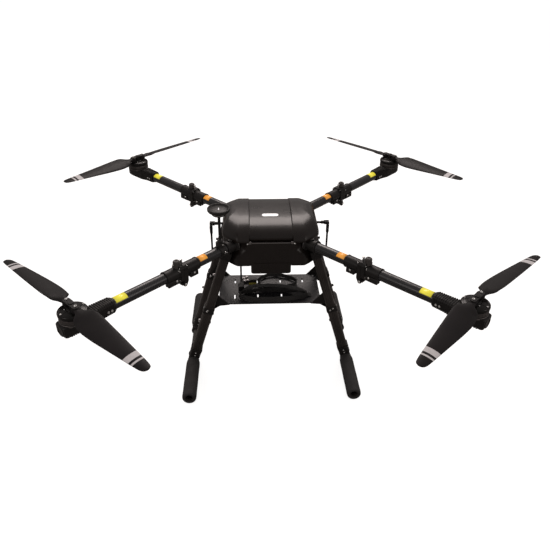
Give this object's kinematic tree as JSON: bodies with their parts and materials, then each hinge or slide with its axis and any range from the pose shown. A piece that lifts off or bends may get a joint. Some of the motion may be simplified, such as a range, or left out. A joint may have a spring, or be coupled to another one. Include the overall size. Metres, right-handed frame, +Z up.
{
  "type": "agricultural spray drone",
  "caption": "Folding-arm agricultural multirotor with a covered centre body, folding two-blade propellers, splayed landing gear with foam-sleeved skids and a payload tray.",
  "frame": {"origin": "centre of the payload tray's upper face", "axes": "+Z up, the nose faces -Y, +X is on the right of the picture"},
  "size_m": [1.402, 1.3983, 0.6016],
  "materials": {
    "carbon_tube": "semi-gloss woven carbon tube",
    "carbon_plate": "satin carbon plate",
    "black_metal": "black anodised, satin",
    "black_plastic": "satin black moulded plastic",
    "shell_plastic": "satin brown-black lacquered shell",
    "propeller": "satin black moulded blade with pale bands",
    "foam": "matt black foam",
    "antenna_rubber": "matt black",
    "lead_rubber": "matt black sleeve"
  },
  "bodies": {
    "airframe": {"front_left_inner_tube": "carbon_tube", "front_left_inner_joint": "black_metal", "front_right_inner_tube": "carbon_tube", "front_right_inner_joint": "black_metal", "rear_left_inner_tube": "carbon_tube", "rear_left_inner_joint": "black_metal", "rear_right_inner_tube": "carbon_tube", "rear_right_inner_joint": "black_metal", "centre_frame": "carbon_plate", "canopy": "shell_plastic", "lower_shell": "shell_plastic", "flight_controller": "black_plastic", "gps_mast": "black_plastic", "gps_puck": "black_plastic", "antenna_bar": "black_plastic", "front_left_leg": "carbon_tube", "front_left_tee_joint": "black_plastic", "front_left_foam_grip": "foam", "front_right_leg": "carbon_tube", "front_right_tee_joint": "black_plastic", "front_right_foam_grip": "foam", "rear_left_leg": "carbon_tube", "rear_left_tee_joint": "black_plastic", "rear_left_foam_grip": "foam", "rear_right_leg": "carbon_tube", "rear_right_tee_joint": "black_plastic", "rear_right_foam_grip": "foam", "left_skid_tube": "carbon_tube", "right_skid_tube": "carbon_tube", "payload_tray": "carbon_plate", "front_tray_rail": "black_metal", "rear_tray_rail": "black_metal", "power_lead": "lead_rubber", "power_plug": "black_plastic"},
    "front_left_arm": {"front_left_outer_joint": "black_metal", "front_left_outer_tube": "carbon_tube", "front_left_motor_mount": "black_metal"},
    "front_left_rotor": {"front_left_rotor": "black_metal"},
    "front_left_blade_a": {"front_left_blade_a": "propeller"},
    "front_left_blade_b": {"front_left_blade_b": "propeller"},
    "front_right_arm": {"front_right_outer_joint": "black_metal", "front_right_outer_tube": "carbon_tube", "front_right_motor_mount": "black_metal"},
    "front_right_rotor": {"front_right_rotor": "black_metal"},
    "front_right_blade_a": {"front_right_blade_a": "propeller"},
    "front_right_blade_b": {"front_right_blade_b": "propeller"},
    "rear_left_arm": {"rear_left_outer_joint": "black_metal", "rear_left_outer_tube": "carbon_tube", "rear_left_motor_mount": "black_metal"},
    "rear_left_rotor": {"rear_left_rotor": "black_metal"},
    "rear_left_blade_a": {"rear_left_blade_a": "propeller"},
    "rear_left_blade_b": {"rear_left_blade_b": "propeller"},
    "rear_right_arm": {"rear_right_outer_joint": "black_metal", "rear_right_outer_tube": "carbon_tube", "rear_right_motor_mount": "black_metal"},
    "rear_right_rotor": {"rear_right_rotor": "black_metal"},
    "rear_right_blade_a": {"rear_right_blade_a": "propeller"},
    "rear_right_blade_b": {"rear_right_blade_b": "propeller"},
    "antenna_whip_left": {"antenna_whip_left": "antenna_rubber"},
    "antenna_whip_right": {"antenna_whip_right": "antenna_rubber"}
  },
  "joints": [
    {"name": "front_left_arm_fold", "type": "hinge", "parent": "airframe", "child": "front_left_arm", "pos_m": [-0.2489, -0.2489, 0.191], "axis": [0.7071, -0.7071, 0], "range_deg": [0, 90]},
    {"name": "front_left_rotor_spin", "type": "hinge", "parent": "front_left_arm", "child": "front_left_rotor", "pos_m": [-0.47093, -0.47093, 0.25], "axis": [0, 0, 1], "continuous": true},
    {"name": "front_left_blade_a_fold", "type": "hinge", "parent": "front_left_rotor", "child": "front_left_blade_a", "pos_m": [-0.48495, -0.45667, 0.274], "axis": [0, 0, 1], "range_deg": [-90, 90]},
    {"name": "front_left_blade_b_fold", "type": "hinge", "parent": "front_left_rotor", "child": "front_left_blade_b", "pos_m": [-0.45692, -0.4852, 0.274], "axis": [0, 0, 1], "range_deg": [-90, 90]},
    {"name": "front_right_arm_fold", "type": "hinge", "parent": "airframe", "child": "front_right_arm", "pos_m": [0.2489, -0.2489, 0.191], "axis": [0.7071, 0.7071, 0], "range_deg": [0, 90]},
    {"name": "front_right_rotor_spin", "type": "hinge", "parent": "front_right_arm", "child": "front_right_rotor", "pos_m": [0.47093, -0.47093, 0.25], "axis": [0, 0, 1], "continuous": true},
    {"name": "front_right_blade_a_fold", "type": "hinge", "parent": "front_right_rotor", "child": "front_right_blade_a", "pos_m": [0.48517, -0.45689, 0.274], "axis": [0, 0, 1], "range_deg": [-90, 90]},
    {"name": "front_right_blade_b_fold", "type": "hinge", "parent": "front_right_rotor", "child": "front_right_blade_b", "pos_m": [0.45669, -0.48498, 0.274], "axis": [0, 0, 1], "range_deg": [-90, 90]},
    {"name": "rear_left_arm_fold", "type": "hinge", "parent": "airframe", "child": "rear_left_arm", "pos_m": [-0.2489, 0.2489, 0.191], "axis": [-0.7071, -0.7071, 0], "range_deg": [0, 90]},
    {"name": "rear_left_rotor_spin", "type": "hinge", "parent": "rear_left_arm", "child": "rear_left_rotor", "pos_m": [-0.47093, 0.47093, 0.25], "axis": [0, 0, 1], "continuous": true},
    {"name": "rear_left_blade_a_fold", "type": "hinge", "parent": "rear_left_rotor", "child": "rear_left_blade_a", "pos_m": [-0.48478, 0.4565, 0.274], "axis": [0, 0, 1], "range_deg": [-90, 90]},
    {"name": "rear_left_blade_b_fold", "type": "hinge", "parent": "rear_left_rotor", "child": "rear_left_blade_b", "pos_m": [-0.45709, 0.48537, 0.274], "axis": [0, 0, 1], "range_deg": [-90, 90]},
    {"name": "rear_right_arm_fold", "type": "hinge", "parent": "airframe", "child": "rear_right_arm", "pos_m": [0.2489, 0.2489, 0.191], "axis": [-0.7071, 0.7071, 0], "range_deg": [0, 90]},
    {"name": "rear_right_rotor_spin", "type": "hinge", "parent": "rear_right_arm", "child": "rear_right_rotor", "pos_m": [0.47093, 0.47093, 0.25], "axis": [0, 0, 1], "continuous": true},
    {"name": "rear_right_blade_a_fold", "type": "hinge", "parent": "rear_right_rotor", "child": "rear_right_blade_a", "pos_m": [0.4574, 0.48566, 0.274], "axis": [0, 0, 1], "range_deg": [-90, 90]},
    {"name": "rear_right_blade_b_fold", "type": "hinge", "parent": "rear_right_rotor", "child": "rear_right_blade_b", "pos_m": [0.48447, 0.45621, 0.274], "axis": [0, 0, 1], "range_deg": [-90, 90]},
    {"name": "antenna_whip_left_swing", "type": "hinge", "parent": "airframe", "child": "antenna_whip_left", "pos_m": [-0.179, 0, 0.24], "axis": [0, 1, 0], "range_deg": [0, 90]},
    {"name": "antenna_whip_right_swing", "type": "hinge", "parent": "airframe", "child": "antenna_whip_right", "pos_m": [0.179, 0, 0.24], "axis": [0, -1, 0], "range_deg": [0, 90]}
  ]
}
